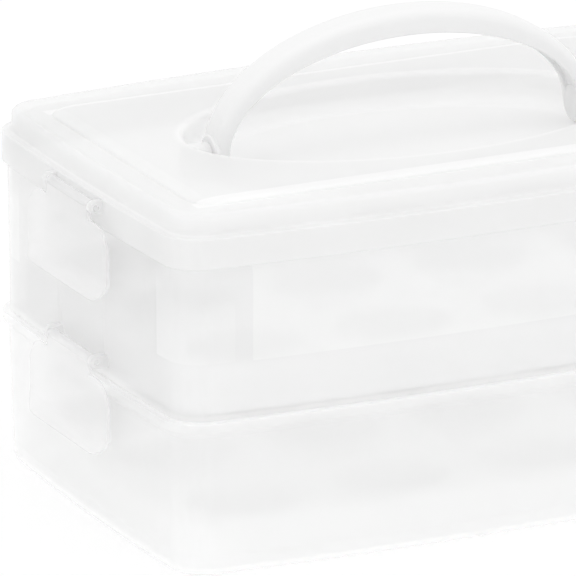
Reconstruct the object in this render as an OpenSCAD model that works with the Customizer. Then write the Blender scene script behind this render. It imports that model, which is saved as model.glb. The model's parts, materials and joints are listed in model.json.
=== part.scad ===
// Two-layer deviled egg carrier: two stacking boxes with an egg tray in each,
// a snap-on lid with a folding carry handle, and hinged latches on both ends.
// Millimetres, +Z up, origin at the centre of the base.

/* [Body] */
// Length of the body, corner to corner
body_l = 350; // [300:1:400]
// Depth of the body, corner to corner
body_w = 220; // [200:1:260]
// Radius of the upright corners
corner_r = 16; // [12:0.5:24]
// How far the long sides bow out
bow_long = 8.8; // [0:0.2:12]
// How far the short sides bow out
bow_short = 3.2; // [0:0.2:6]
// Wall thickness of the boxes
wall = 1.8; // [1.4:0.1:2.6]
// Floor thickness of the boxes
floor_t = 2.6; // [2.2:0.1:3.4]
// How much narrower the foot of the lower box is, each side
draft = 1.7; // [0:0.1:3]
// How much narrower the foot of the upper box is, each side
upper_draft = 0.4; // [0:0.1:0.8]
// How far the rounded edge under the lower box reaches in
foot_round = 2.8; // [1:0.1:4]
// How far the rounded edge under the lower box reaches up
foot_rise = 9; // [3:0.5:10]

/* [Layers] */
// Height of the lower box, up to the seat of the upper box
lower_h = 82; // [74:0.5:100]
// Height of the upper box, up to the seat of the lid
upper_h = 95; // [88:0.5:110]
// Height of the rim flange
flange_h = 5; // [4:0.5:8]
// Height of the slope under the rim flange
flange_slope = 3.5; // [2:0.1:5]
// How far the rim flange stands out
flange_out = 3; // [2:0.1:4]
// Depth of the locating ring under the upper box
plug_h = 4; // [2:0.5:6]
// Clearance of the locating ring in the lower box
plug_gap = 0.6; // [0.3:0.1:1.2]
// Depth of the recess under each floor
foot_recess = 0.8; // [0.4:0.1:1.2]
// Width of the foot ring
foot_ring = 14; // [8:1:24]

/* [Raised side panels] */
// Distance of the panels from the corners
corner_zone = 28; // [26:1:50]
// How far the panels stand out
panel_step = 1; // [0.4:0.1:1.5]
// Height of the plain band above the foot of each box
panel_low = 11; // [10:1:20]
// Height of the plain band above the panels
panel_high = 3; // [2:0.5:8]
// Height of the sloped edges above and below a panel
panel_edge = 2.5; // [1:0.5:4]
// Width of the sloped upright edges of a panel
panel_side = 9; // [2:0.5:12]

/* [Egg trays] */
// Height of a tray
tray_h = 24; // [21:0.5:30]
// Thickness of a tray
tray_t = 1.4; // [1:0.1:2]
// Clearance between a tray and the box wall at its foot
tray_gap = 2.6; // [1.5:0.1:5]
// Radius of a tray's corners
tray_r = 18; // [12:1:30]
// Egg cavities along the length
cavity_columns = 4; // [2:1:4]
// Egg cavities across the depth
cavity_rows = 3; // [2:1:3]
// Spacing of the cavities along the length
cavity_pitch_x = 83; // [70:0.5:84]
// Spacing of the cavities across the depth
cavity_pitch_y = 77; // [60:0.5:78]
// Length of a cavity at the tray's surface
cavity_l = 62; // [52:0.5:66]
// Width of a cavity at the tray's surface
cavity_w = 48; // [40:0.5:54]
// Depth of a cavity
cavity_d = 14; // [10:0.5:17]

/* [Lid] */
// Height of the lid's skirt
skirt_h = 17.4; // [12:0.2:20]
// How far the skirt stands out
skirt_out = 2.8; // [2.4:0.1:4]
// Clearance between the skirt and the box wall
skirt_gap = 0.6; // [0.3:0.1:0.8]
// Height of the crest above the ledge
crest_h = 11.6; // [8:0.2:18]
// Thickness of the lid
lid_t = 1.8; // [1.4:0.1:2.6]
// Radius of the rounded edges of the crest and the raised middle
crest_r = 3; // [1:0.1:4]
// Radius of the ledge's outer edge
ledge_r = 0.8; // [0.4:0.1:1.2]
// Width of the slope from the crest down to the gutter
gutter_slope = 4; // [2:0.5:6]
// Depth of the gutter inside the crest
gutter_d = 2.2; // [1:0.1:3]
// Distance from the body's corner lines to the raised middle
plateau_inset = 25; // [20:1:30]
// Width of the slope around the raised middle
plateau_slope = 8; // [3:0.5:10]
// Height of the raised middle above the crest
plateau_up = 0.5; // [0:0.1:2]
// Share of the sides' bow that the raised middle keeps
plateau_bow = 0.02; // [0.02:0.02:1]
// Room in the handle well past the ends of the folded handle
well_end = 9.5; // [7:0.5:14]
// Room in the handle well past the crown of the folded handle
well_side = 2.5; // [2:0.1:6]
// Depth of the handle well
well_d = 17.5; // [16:0.1:20]
// Height of the rounded foot of the well
well_foot = 9; // [5:0.5:12]
// Width of the well's rounded foot at its ends
foot_end = 13; // [6:0.5:14]
// Width of the well's rounded foot at its sides
foot_side = 4; // [2:0.1:4.5]
// Radius of the rounded edge at the well's mouth
mouth_r = 3; // [1:0.1:3.5]

/* [Carry handle] */
// Span of the handle, outside
handle_span = 216; // [190:1:218]
// Rise of the handle above its pivots
handle_rise = 64.5; // [50:0.5:65]
// Width of the handle
handle_w = 19.6; // [14:0.2:20]
// Depth of the grip at the middle
grip_d = 13.4; // [9:0.2:16]
// Thickness of a leg at its pivot
leg_t = 8; // [5:0.5:10]
// Radius of the grip's outer edges
grip_r = 2; // [0.5:0.1:3]
// Thickness of the handle's channel wall
channel_t = 2.4; // [1.6:0.1:3]
// Radius of a pivot pin
pivot_r = 3; // [2:0.1:4]
// Length of a pivot pin
pivot_l = 9; // [6:0.5:11]
// Wall of the bosses around the pivot pins
boss_wall = 3.5; // [2:0.1:3.6]
// Height of the pivots above the well's floor
pivot_up = 10.8; // [10.4:0.1:13]

/* [Latches] */
// Width of a latch
latch_w = 94; // [70:1:100]
// Length of the hinge barrel
barrel_l = 50; // [36:1:60]
// Distance of the lid latches' hinge below the ledge
hinge_under = 4.9; // [4.5:0.1:6]
// Distance from the hinge down to the lip
latch_h = 46; // [40:0.5:52]
// Thickness of a latch
latch_t = 2; // [1.6:0.1:2.6]
// Radius of the hinge barrel
barrel_r = 2.8; // [2.4:0.1:3.4]
// Radius of the hinge pins
pin_r = 1.6; // [1.2:0.1:1.8]
// Length of a hinge pin
pin_l = 3.6; // [2.5:0.1:5]
// Radius of a hinge ear
ear_r = 3.3; // [2.8:0.1:4]
// Thickness of a hinge ear
ear_t = 4; // [3:0.1:6]
// Width of the hook
hook_w = 40; // [24:1:46]
// How far the hook reaches behind its catch
hook_bite = 1.4; // [0.8:0.1:1.6]
// Thickness of the hook
hook_t = 2.4; // [1.6:0.1:3]
// How far a catch ledge stands out past the hook, each side
catch_t = 2; // [1:0.5:3]
// Height of the catch ledge
catch_h = 2.2; // [1.6:0.1:4]
// Radius of a latch's corners
latch_r = 13; // [6:0.5:17]
// Distance from the hinge down to the latch's shoulders
latch_neck = 7; // [6:0.5:12]
// Radius of the finger lip's flare
flare_r = 16; // [10:0.5:22]
// Angle through which the finger lip flares out
flare_a = 50; // [30:5:60]

/* [Fits] */
// Radial clearance of every hinge pin
pin_fit = 0.05; // [0.02:0.01:0.09]
// Clearance between parts that move past each other
run_gap = 0.6; // [0.4:0.1:0.8]
// Clearance under each catch
catch_gap = 0.3; // [0.2:0.05:0.5]

/* [Hidden] */
$fn = 64;
eps = 0.01;
corner_steps = 6;
bow_steps = 4;
under_bevel = 1.4;
inside_r = 1.8;
seat_round = 0.4;
ring_bevel = 1;

// Length and width of the oval handle well
well_l = handle_span + 2 * well_end;
well_w = 2 * (handle_rise + well_side);

// Levels
upper_z = lower_h;
lid_z = lower_h + upper_h;
ledge_z = lid_z + lid_t;
skirt_z = ledge_z - skirt_h;
crest_z = ledge_z + crest_h;
plateau_z = crest_z + plateau_up;
gutter_z = crest_z - gutter_d;
well_z = plateau_z - well_d;
pivot_z = well_z + pivot_up;

// Latch places, measured out from the centre along X
side_x = body_l / 2 + bow_short;
hinge_x = side_x + skirt_out + run_gap + barrel_r;
lid_hinge_z = ledge_z - hinge_under;
catch_z = skirt_z - run_gap - catch_h - flange_slope;
hook_down = lid_hinge_z - catch_z + catch_gap;
layer_hinge_z = lower_h - flange_h - flange_slope + hook_down - catch_gap;

// Outline of the body in plan: one quarter, then its mirror images.
// inset moves it inwards, step raises the side panels, r is the corner radius
// and bend how much of the sides' bow it keeps.
function bow(t, half, rise) = rise * (1 - pow(t / half, 2));
function on_short(y, inset, step, bend) = body_l / 2 + bend * bow(y, body_w / 2, bow_short) - inset + step;
function on_long(x, inset, step, bend) = body_w / 2 + bend * bow(x, body_l / 2, bow_long) - inset + step;
function spread(from, to, steps) = [for (i = [0:steps]) from + (to - from) * i / steps];
function quarter(inset, step, r, bend) = let (
    cy = body_w / 2 - max(inset, 0) - r,
    cx = body_l / 2 - max(inset, 0) - r,
    sy = min(body_w / 2 - corner_zone, cy - 1),
    sx = min(body_l / 2 - corner_zone, cx - 1),
    ry = on_long(cx, inset, 0, bend) - cy,
    rx = on_short(cy, inset, 0, bend) - cx
) concat(
    [for (y = spread(0, sy - panel_side, bow_steps)) [on_short(y, inset, step, bend), y]],
    [[on_short(sy, inset, 0, bend), sy]],
    [for (a = spread(0, 90, corner_steps)) [cx + rx * cos(a), cy + ry * sin(a)]],
    [[sx, on_long(sx, inset, 0, bend)]],
    [for (x = spread(sx - panel_side, 0, bow_steps)) [x, on_long(x, inset, step, bend)]]
);
function mirrored(q) = let (n = len(q)) concat(
    q,
    [for (i = [n - 2:-1:0]) [-q[i][0], q[i][1]]],
    [for (i = [1:n - 1]) [-q[i][0], -q[i][1]]],
    [for (i = [n - 2:-1:1]) [q[i][0], -q[i][1]]]
);
function at_height(outline, z) = [for (p = outline) [p[0], p[1], z]];
function ring(z, inset, step = 0, r = corner_r, bend = 1) =
    at_height(mirrored(quarter(inset, step, r, bend)), z);
function straight_ring(z, inset) = ring(z, inset, bend = plateau_bow);
// Rings around an outer edge at inset, rounded with radius r up to the level z
function round_edge(z, inset, r, steps) =
    [for (a = spread(0, 90, steps)) ring(z - r + r * sin(a), inset + r - r * cos(a))];
function oval(z, length, width, steps = 48) =
    [for (i = [0:steps - 1]) [length / 2 * cos(360 * i / steps), width / 2 * sin(360 * i / steps), z]];

// Solid through a stack of rings that all have the same number of points
module loft(rings) {
    n = len(rings[0]);
    last = len(rings) - 1;
    sides = [for (k = [0:last - 1]) for (i = [0:n - 1]) let (j = (i + 1) % n)
        each [[k * n + i, (k + 1) * n + i, (k + 1) * n + j], [k * n + i, (k + 1) * n + j, k * n + j]]];
    caps = [[for (i = [0:n - 1]) i], [for (i = [n - 1:-1:0]) last * n + i]];
    polyhedron([for (ring = rings) each ring], concat(caps, sides), convexity = 10);
}

// Outside and inside of a box that stands on z = 0. foot is how much narrower
// it is at its foot, round_in and round_up the rounded edge under it, out the flange.
function leaning(z, top, foot, step = 0) = ring(z, foot * (1 - z / top), step);
module box_outside(h, foot, round_in, round_up, out, panel_top) {
    loft(concat(
        [for (a = spread(0, 90, 4)) ring(round_up * (1 - cos(a)), foot + round_in * (1 - sin(a)))],
        [
            leaning(panel_low, panel_top, foot),
            leaning(panel_low + panel_edge, panel_top, foot, panel_step),
            leaning(panel_top - panel_edge, panel_top, foot, panel_step),
            ring(panel_top, 0),
            ring(h - flange_h - flange_slope, 0),
            ring(h - flange_h, -out),
            ring(h, -out)
        ]
    ));
}
module box_inside(h, foot, panel_top) {
    function inner(z, step = 0) = ring(z, foot * (1 - z / panel_top) + wall, step);
    loft([
        ring(floor_t, foot + wall + inside_r),
        ring(floor_t + inside_r, foot + wall),
        inner(panel_low),
        inner(panel_low + panel_edge, panel_step),
        inner(panel_top - panel_edge, panel_step),
        ring(panel_top, wall),
        ring(h + 1, wall)
    ]);
}
// Shallow hollow under a floor, which leaves a foot ring
module foot_hollow() {
    loft([ring(-1, draft + foot_ring), ring(foot_recess, draft + foot_ring + 1)]);
}

// Pair of hinge ears at one end, on the +X side. back is where their webs start
module hinge_ears(z, back) {
    for (side = [-1, 1])
        translate([0, side * (barrel_l / 2 + run_gap / 2 + ear_t / 2), z])
            difference() {
                union() {
                    translate([hinge_x, 0, 0]) rotate([90, 0, 0])
                        cylinder(r = ear_r, h = ear_t, center = true);
                    translate([back, -ear_t / 2, -ear_r])
                        cube([hinge_x - back, ear_t, 2 * ear_r]);
                }
                translate([hinge_x, 0, 0]) rotate([90, 0, 0])
                    cylinder(r = pin_r + pin_fit, h = ear_t + 1, center = true);
            }
}
module both_ends() {
    children();
    rotate([0, 0, 180]) children();
}

module lower_box() {
    panel_top = lower_h - flange_h - flange_slope - panel_high;
    color([0.93, 0.94, 0.95, 0.5])
        difference() {
            box_outside(lower_h, draft, foot_round, foot_rise, flange_out, panel_top);
            box_inside(lower_h, draft, panel_top);
            foot_hollow();
        }
}

// Ledge that a lid latch hooks under, with the same slope as the rim flange
module lid_catch() {
    root = side_x - wall / 2;
    tip = side_x + flange_out;
    top = flange_slope + catch_h;
    translate([0, 0, catch_z]) rotate([90, 0, 0])
        linear_extrude(height = hook_w + 2 * catch_t, center = true)
            polygon([[root, 0], [side_x, 0], [tip, flange_slope], [tip, top], [root, top]]);
}
module locating_ring() {
    outer = wall + plug_gap;
    difference() {
        loft([
            ring(-plug_h, outer + ring_bevel),
            ring(-plug_h + ring_bevel, outer),
            ring(floor_t / 2, outer)
        ]);
        loft([ring(-plug_h - 1, outer + wall + ring_bevel), ring(floor_t / 4, outer + wall)]);
    }
}
module upper_box() {
    panel_top = skirt_z - upper_z - panel_high / 2;
    color([0.93, 0.94, 0.95, 0.5]) {
        translate([0, 0, upper_z]) {
            difference() {
                box_outside(upper_h, upper_draft, seat_round, seat_round, 0, panel_top);
                box_inside(upper_h, upper_draft, panel_top);
            }
            locating_ring();
        }
        both_ends() {
            lid_catch();
            hinge_ears(layer_hinge_z, side_x - wall / 2);
        }
    }
}

// One egg cavity: half of an egg-shaped body that turns about the X axis.
// grow adds the tray's thickness for the outside of the cup.
cup_r = (pow(cavity_w / 2, 2) + pow(cavity_d, 2)) / (2 * cavity_d);
cup_up = cup_r - cavity_d;
cup_a = cavity_l / 2 / sqrt(1 - pow(cup_up / cup_r, 2));
cup_steps = 12;
module egg_form(grow) {
    translate([0, 0, cup_up]) rotate([0, 90, 0]) rotate_extrude()
        polygon([for (i = [0:cup_steps]) let (a = 180 * i / cup_steps)
            [(cup_r + grow) * sin(a), (cup_a + grow) * cos(a)]]);
}
module egg_cavities(grow) {
    for (i = [0:cavity_columns - 1], j = [0:cavity_rows - 1])
        translate([
            (i - (cavity_columns - 1) / 2) * cavity_pitch_x,
            (j - (cavity_rows - 1) / 2) * cavity_pitch_y,
            tray_h
        ]) egg_form(grow);
}
tray_inset = draft + wall + tray_gap;
tray_bevel = 1.2;
module egg_tray() {
    difference() {
        union() {
            difference() {
                loft([
                    ring(0, tray_inset, 0, tray_r),
                    ring(tray_h - tray_bevel, tray_inset, 0, tray_r),
                    ring(tray_h, tray_inset + tray_bevel, 0, tray_r)
                ]);
                loft([
                    ring(-1, tray_inset + tray_t, 0, tray_r),
                    ring(tray_h - tray_t, tray_inset + tray_t, 0, tray_r)
                ]);
            }
            intersection() {
                egg_cavities(tray_t);
                translate([0, 0, (tray_h - tray_t) / 2])
                    cube([body_l, body_w, tray_h - tray_t], center = true);
            }
        }
        egg_cavities(0);
    }
}
module lower_egg_tray() {
    color([0.97, 0.97, 0.97]) translate([0, 0, floor_t]) egg_tray();
}
module upper_egg_tray() {
    color([0.97, 0.97, 0.97]) translate([0, 0, upper_z + floor_t]) egg_tray();
}

// Boss at each end of the well that holds a handle pin
boss_x = handle_span / 2 + run_gap;
boss_r = pivot_r + boss_wall;
boss_l = pivot_l + boss_wall;
module handle_boss() {
    translate([boss_x, 0, pivot_z]) rotate([0, 90, 0]) cylinder(r = boss_r, h = boss_l);
    translate([boss_x, -boss_r, well_z - lid_t]) cube([boss_l, 2 * boss_r, pivot_z - well_z + lid_t]);
}
module handle_bore() {
    translate([boss_x - 1, 0, pivot_z]) rotate([0, 90, 0])
        cylinder(r = pivot_r + pin_fit, h = pivot_l + 1);
}
// Rings of the oval well's rounded foot. t is the thickness of material around it.
function well_oval(z, out_x, out_y) = oval(z, well_l + 2 * out_x, well_w + 2 * out_y);
function well_foot_rings(t) = [for (a = spread(0, 90, 4))
    well_oval(well_z - t + (well_foot + t) * (1 - cos(a)),
              (foot_end + t) * sin(a) - foot_end, (foot_side + t) * sin(a) - foot_side)];
module well_hollow() {
    loft(concat(
        well_foot_rings(0),
        [for (a = spread(0, 90, 3)) let (out = mouth_r * (1 - cos(a)))
            well_oval(plateau_z - mouth_r * (1 - sin(a)), out, out)],
        [well_oval(plateau_z + 1, mouth_r, mouth_r)]
    ));
}
module well_shell() {
    loft(concat(well_foot_rings(lid_t), [well_oval(plateau_z, lid_t, lid_t)]));
}
// Opening in the lid that the recess fills, with room for its bosses
module recess_opening() {
    loft([well_oval(well_z - lid_t, lid_t, lid_t), well_oval(plateau_z + 1, lid_t, lid_t)]);
    both_ends() handle_boss();
}
module lid_outside() {
    plateau_rise = plateau_z - gutter_z;
    loft(concat(
        [ring(skirt_z, -skirt_out)],
        round_edge(ledge_z, -skirt_out, ledge_r, 2),
        [ring(ledge_z, wall)],
        round_edge(crest_z, wall, crest_r, 4),
        [ring(gutter_z, wall + crest_r + gutter_slope)],
        [for (a = spread(0, 90, 4))
            straight_ring(gutter_z + plateau_rise * sin(a), plateau_inset - plateau_slope * cos(a))]
    ));
}
module lid_inside() {
    loft([
        ring(skirt_z - 1, -skirt_gap),
        ring(lid_z, -skirt_gap),
        ring(lid_z, wall + lid_t),
        ring(gutter_z - lid_t - under_bevel, wall + lid_t),
        ring(gutter_z - lid_t, wall + lid_t + under_bevel),
        straight_ring(gutter_z - lid_t, plateau_inset - plateau_slope + lid_t),
        straight_ring(plateau_z - lid_t, plateau_inset)
    ]);
}
module lid_colour() {
    color([0.94, 0.95, 0.96, 0.55]) children();
}
module lid() {
    lid_colour() {
        difference() {
            lid_outside();
            lid_inside();
            recess_opening();
            well_hollow();
        }
        both_ends() hinge_ears(lid_hinge_z, side_x + (skirt_out + skirt_gap) / 2);
    }
}
// Oval pan in the middle of the lid, moulded in one piece with it
module handle_recess() {
    lid_colour()
        difference() {
            union() {
                difference() {
                    well_shell();
                    well_hollow();
                }
                both_ends() handle_boss();
            }
            both_ends() handle_bore();
        }
}

// Bail handle: a channel section swept along an elliptical arch. depth runs
// from the arch's outer face inwards, and the channel is open on the inside.
handle_steps = 32;
function arch(a, rx, rz) = [rx * cos(a), 0, pivot_z + rz * sin(a)];
function channel(depth) = let (w = handle_w / 2) concat(
    [for (a = spread(0, 90, 3)) [grip_r - grip_r * cos(a), w - grip_r + grip_r * sin(a)]],
    [[depth, w], [depth, w - channel_t], [channel_t, w - channel_t]],
    [[channel_t, channel_t - w], [depth, channel_t - w], [depth, -w]],
    [for (a = spread(90, 0, 3)) [grip_r - grip_r * cos(a), grip_r - w - grip_r * sin(a)]]
);
module carry_handle() {
    half = handle_span / 2;
    in_x = half - leg_t;
    function section(a) = let (
        outer = arch(a, half, handle_rise),
        inner = arch(a, in_x, handle_rise - grip_d),
        depth = norm(inner - outer)
    ) [for (p = channel(depth)) outer + (inner - outer) * p[0] / depth + [0, p[1], 0]];
    color([0.98, 0.98, 0.98]) {
        loft([for (a = spread(0, 180, handle_steps)) section(a)]);
        both_ends() translate([in_x, 0, pivot_z]) rotate([0, 90, 0]) {
            cylinder(r = handle_w / 2, h = leg_t);
            cylinder(r = pivot_r, h = leg_t + pivot_l - run_gap);
        }
    }
}

// Rectangle with round corners, made of true arcs
module round_plate(width, height, r) {
    translate([-width / 2, r]) square([width, height - 2 * r]);
    translate([r - width / 2, 0]) square([width - 2 * r, height]);
    for (x = [r - width / 2, width / 2 - r], y = [r, height - r])
        translate([x, y]) circle(r = r);
}
// Side view of a latch: u runs outwards from the hinge, w upwards
function latch_side(inner_u, flare_w) = let (
    outer_u = inner_u + latch_t,
    front_r = flare_r - latch_t
) concat(
    [[inner_u, 0], [outer_u, 0]],
    [for (a = spread(0, flare_a, 5)) [outer_u + front_r * (1 - cos(a)), flare_w - front_r * sin(a)]],
    [for (a = spread(flare_a, 0, 5)) [inner_u + flare_r * (1 - cos(a)), flare_w - flare_r * sin(a)]]
);
// Latch in its closed place on the +X end
module latch(z) {
    inner_u = barrel_r - latch_t;
    root_u = inner_u + latch_t / 2;
    hook_u = side_x + flange_out - hook_bite - hinge_x;
    hook_rise = flange_slope * hook_bite / flange_out;
    hook_top = -hook_down + flange_slope * (flange_out - hook_bite) / flange_out;
    translate([hinge_x, 0, z]) {
        intersection() {
            rotate([90, 0, 0]) linear_extrude(height = latch_w, center = true)
                polygon(latch_side(inner_u, flare_r * sin(flare_a) - latch_h));
            rotate([90, 0, 90]) linear_extrude(height = 4 * flare_r, center = true) {
                translate([-barrel_l / 2, -latch_h / 2]) square([barrel_l, latch_h / 2]);
                translate([0, -latch_h]) round_plate(latch_w, latch_h - latch_neck, latch_r);
            }
        }
        rotate([90, 0, 0]) {
            cylinder(r = barrel_r, h = barrel_l, center = true);
            cylinder(r = pin_r, h = barrel_l + 2 * pin_l, center = true);
            linear_extrude(height = hook_w, center = true)
                polygon([
                    [hook_u, hook_top - hook_t], [root_u, hook_top - hook_t], [root_u, hook_top + hook_rise],
                    [hook_u + hook_bite, hook_top + hook_rise], [hook_u, hook_top]
                ]);
        }
    }
}
module latch_colour() {
    color([0.96, 0.97, 0.98]) children();
}
module lid_latch_left() {
    latch_colour() rotate([0, 0, 180]) latch(lid_hinge_z);
}
module lid_latch_right() {
    latch_colour() latch(lid_hinge_z);
}
module layer_latch_left() {
    latch_colour() rotate([0, 0, 180]) latch(layer_hinge_z);
}
module layer_latch_right() {
    latch_colour() latch(layer_hinge_z);
}

lower_box();
lower_egg_tray();
upper_box();
upper_egg_tray();
lid();
handle_recess();
carry_handle();
lid_latch_left();
lid_latch_right();
layer_latch_left();
layer_latch_right();
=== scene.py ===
"""Deviled egg carrier of frosted plastic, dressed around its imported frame.

The scene holds the carrier's boxes, trays, lid, latches and carry handle, a plain studio and the camera.
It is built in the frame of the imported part: +X along the carrier, +Z up. The classes of the pieces hold
their sizes in millimetres; finishes, studio and camera are in metres.
"""

import functools
import json
import logging
import math
from dataclasses import dataclass, field
from enum import Enum

import bmesh
import bpy
from mathutils import Matrix, Vector

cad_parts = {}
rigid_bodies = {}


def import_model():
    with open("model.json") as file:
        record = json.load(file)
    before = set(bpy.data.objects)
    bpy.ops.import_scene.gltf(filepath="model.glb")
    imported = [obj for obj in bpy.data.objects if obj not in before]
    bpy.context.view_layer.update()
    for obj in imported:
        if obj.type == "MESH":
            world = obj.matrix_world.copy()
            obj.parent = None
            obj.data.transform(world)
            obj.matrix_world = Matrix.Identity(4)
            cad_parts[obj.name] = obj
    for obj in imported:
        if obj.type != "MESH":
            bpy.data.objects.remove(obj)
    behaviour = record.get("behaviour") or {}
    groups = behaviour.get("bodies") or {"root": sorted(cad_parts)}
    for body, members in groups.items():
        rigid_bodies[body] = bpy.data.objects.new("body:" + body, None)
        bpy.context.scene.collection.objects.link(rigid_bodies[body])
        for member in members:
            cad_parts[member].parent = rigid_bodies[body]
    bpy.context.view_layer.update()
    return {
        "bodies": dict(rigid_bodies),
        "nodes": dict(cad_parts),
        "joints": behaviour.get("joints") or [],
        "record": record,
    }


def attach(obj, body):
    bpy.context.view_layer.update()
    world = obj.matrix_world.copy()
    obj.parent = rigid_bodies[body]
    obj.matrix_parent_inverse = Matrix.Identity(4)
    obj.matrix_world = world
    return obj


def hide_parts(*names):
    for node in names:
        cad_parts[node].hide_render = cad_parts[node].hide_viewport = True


LOG = logging.getLogger("egg_carrier")
MM = 0.001
# Edges under this angle, in degrees, are shaded smooth.
SMOOTH_ANGLE = 34.0
# Light that enters the frosted plastic is scattered many times before it leaves.
MOST_BOUNCES = 30
DIFFUSE_BOUNCES = 24
CLEAR_LAYERS = 88
# Distance of the latches' pins from the carrier's middle and level of the handle's pins, in millimetres.
HINGE_REACH = 184.4
HANDLE_PIVOT = 184.2
UP = Vector((0.0, 0.0, 1.0))
BLACK = (0.0, 0.0, 0.0)
WHITE = (1.0, 1.0, 1.0, 1.0)
Ring = list[Vector]


class End(Enum):
    """The two ends of the carrier, by their direction along X."""

    LEFT = -1
    RIGHT = 1


class Stage(Enum):
    """What a pair of latches holds, by the level of their hinges in millimetres."""

    LID = 173.9
    LAYER = 92.3


class Slot(Enum):
    """The record's material slots."""

    CLEAR = "clear"
    TRAY = "tray_white"
    HANDLE = "handle_white"
    LATCH = "latch_white"


class Shade:
    """One socket or number in a material, with the usual operators for shader maths."""

    def __init__(self, graph: "Graph", value: object) -> None:
        """Wraps a node's output socket, or a plain number.

        Args:
            graph: the material that the value belongs to.
            value: an output socket or a number.
        """
        self.graph = graph
        self.value = value

    def _maths(self, operation: str, other: object, swapped: bool = False) -> "Shade":
        """Adds a Math node for this value and another one.

        Args:
            operation: the Math node's operation.
            other: a Shade or a number.
            swapped: whether the other value comes first.

        Returns:
            The node's result.
        """
        pair = [self, other]
        if swapped:
            pair.reverse()
        return self.graph.node("ShaderNodeMath", {"operation": operation}, {0: pair[0], 1: pair[1]})

    def __add__(self, other: object) -> "Shade":
        """Sum with a Shade or a number."""
        return self._maths("ADD", other)

    def __radd__(self, other: object) -> "Shade":
        """Sum with a number on the left."""
        return self._maths("ADD", other, True)

    def __sub__(self, other: object) -> "Shade":
        """Difference from a Shade or a number."""
        return self._maths("SUBTRACT", other)

    def __rsub__(self, other: object) -> "Shade":
        """Difference of a number and this value."""
        return self._maths("SUBTRACT", other, True)

    def __mul__(self, other: object) -> "Shade":
        """Product with a Shade or a number."""
        return self._maths("MULTIPLY", other)

    def __rmul__(self, other: object) -> "Shade":
        """Product with a number on the left."""
        return self._maths("MULTIPLY", other, True)


class Graph:
    """The node tree of a material or of the world."""

    def __init__(self, owner: bpy.types.Material | bpy.types.World) -> None:
        """Empties the owner's node tree.

        Args:
            owner: the material or world.
        """
        owner.use_nodes = True
        self.owner = owner
        self.tree = owner.node_tree
        self.tree.nodes.clear()

    def node(self, kind: str, settings: dict | None = None, inputs: dict | None = None,
             output: object = 0) -> Shade:
        """Adds a node.

        Args:
            kind: the node's type.
            settings: the node's own settings, set first.
            inputs: a value or a Shade for each socket, by name or number.
            output: the output that is wanted, by name or number.

        Returns:
            The output, wrapped for shader maths.
        """
        made = self.tree.nodes.new(kind)
        for key, value in (settings or {}).items():
            setattr(made, key, value)
        for key, value in (inputs or {}).items():
            socket = made.inputs[key]
            if isinstance(value, Shade):
                self.tree.links.new(value.value, socket)
            else:
                socket.default_value = value
        return Shade(self, made.outputs[output])

    def place(self) -> Shade:
        """The Object coordinates."""
        return self.node("ShaderNodeTexCoord", output="Object")

    def noise(self, scale: float, detail: float = 2.0) -> Shade:
        """Smooth noise on Object coordinates, from 0 to 1.

        Args:
            scale: how fine the noise is, in cells to a metre.
            detail: how many finer layers it has.

        Returns:
            The noise.
        """
        inputs = {"Vector": self.place(), "Scale": scale, "Detail": detail}
        return self.node("ShaderNodeTexNoise", {}, inputs)

    def ramp(self, value: Shade, start: float, end: float) -> Shade:
        """A smooth step from 0 at the start to 1 at the end."""
        inputs = {"Value": value, "From Min": start, "From Max": end}
        return self.node("ShaderNodeMapRange", {"interpolation_type": "SMOOTHSTEP"}, inputs)

    def along(self, axis: str) -> Shade:
        """One of the Object coordinates."""
        return self.node("ShaderNodeSeparateXYZ", {}, {"Vector": self.place()}, output=axis)

    def above(self, axis: str, level: float, soft: float) -> Shade:
        """1 above a level of one coordinate, 0 below it, with a soft change."""
        return self.ramp(self.along(axis), level - soft / 2, level + soft / 2)

    def within(self, axis: str, half: float, soft: float) -> Shade:
        """1 nearer to the middle than a distance along one axis, 0 further out."""
        away = self.node("ShaderNodeMath", {"operation": "ABSOLUTE"}, {0: self.along(axis)})
        return 1.0 - self.ramp(away, half - soft / 2, half + soft / 2)

    def wrap(self, value: Shade, low: float, high: float) -> Shade:
        """A value that starts again at the low end of a range when it passes the high end."""
        return self.node("ShaderNodeMath", {"operation": "WRAP"}, {0: value, 1: high, 2: low})

    def most(self, first: Shade, second: Shade) -> Shade:
        """The greater of two values."""
        return self.node("ShaderNodeMath", {"operation": "MAXIMUM"}, {0: first, 1: second})

    def mix(self, share: object, first: object, second: object) -> Shade:
        """A mix of two colours.

        Args:
            share: the second colour's share.
            first: a Shade or a linear colour.
            second: a Shade or a linear colour.

        Returns:
            The mixed colour.
        """
        pair = [c if isinstance(c, Shade) else (*c, 1.0) for c in (first, second)]
        inputs = {0: share, 6: pair[0], 7: pair[1]}
        return self.node("ShaderNodeMix", {"data_type": "RGBA"}, inputs, output=2)

    def seen(self, *kinds: str) -> Shade:
        """Whether a ray is of one of some kinds.

        Args:
            kinds: outputs of the Light Path node.

        Returns:
            1 for such a ray, 0 for any other.
        """
        rays = [self.node("ShaderNodeLightPath", output=kind) for kind in kinds]
        return functools.reduce(self.most, rays)

    def finish(self, surface: Shade) -> bpy.types.Material | bpy.types.World:
        """Connects the surface to the output.

        Args:
            surface: the shader.

        Returns:
            The owner.
        """
        kind = "World" if isinstance(self.owner, bpy.types.World) else "Material"
        out = self.tree.nodes.new(f"ShaderNodeOutput{kind}")
        self.tree.links.new(surface.value, out.inputs["Surface"])
        return self.owner


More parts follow.
